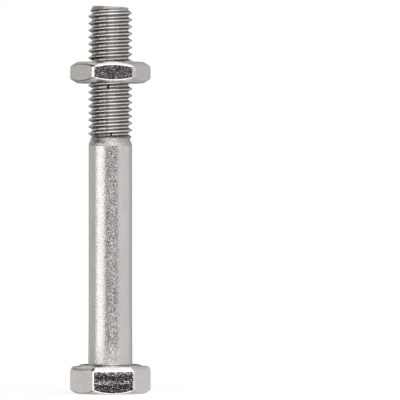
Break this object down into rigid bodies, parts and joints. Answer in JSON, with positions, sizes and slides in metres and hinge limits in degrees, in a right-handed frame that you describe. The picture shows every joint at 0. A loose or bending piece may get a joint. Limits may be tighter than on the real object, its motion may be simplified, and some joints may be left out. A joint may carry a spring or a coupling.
{
  "type": "hex head machine screw",
  "caption": "Partly threaded steel screw with a hexagon head, a plain shank and a thin hexagon nut run onto its thread.",
  "frame": {"origin": "centre of the bearing face under the head, on the screw's axis; the head reaches 5.2 mm below it and the screw stands on its head's end", "axes": "+Z along the screw's axis from the head to the tip; the flats of the head and of the nut face +Y and -Y, so corners lie on +X and -X"},
  "size_m": [0.0146, 0.0128, 0.0702],
  "materials": {
    "screw_steel": "plain stainless steel, cold forged and rolled, lightly satin with fine dents on the flats",
    "nut_steel": "plain stainless steel, cold forged, satin with a pitted skin on the flats"
  },
  "bodies": {
    "screw": {"hex_screw": "screw_steel"},
    "nut": {"thin_nut": "nut_steel"}
  },
  "joints": [
    {"name": "nut_travel", "type": "slide", "parent": "screw", "child": "nut", "axis": [0, 0, 1], "range_m": [-0.00875, 0.02125]}
  ]
}
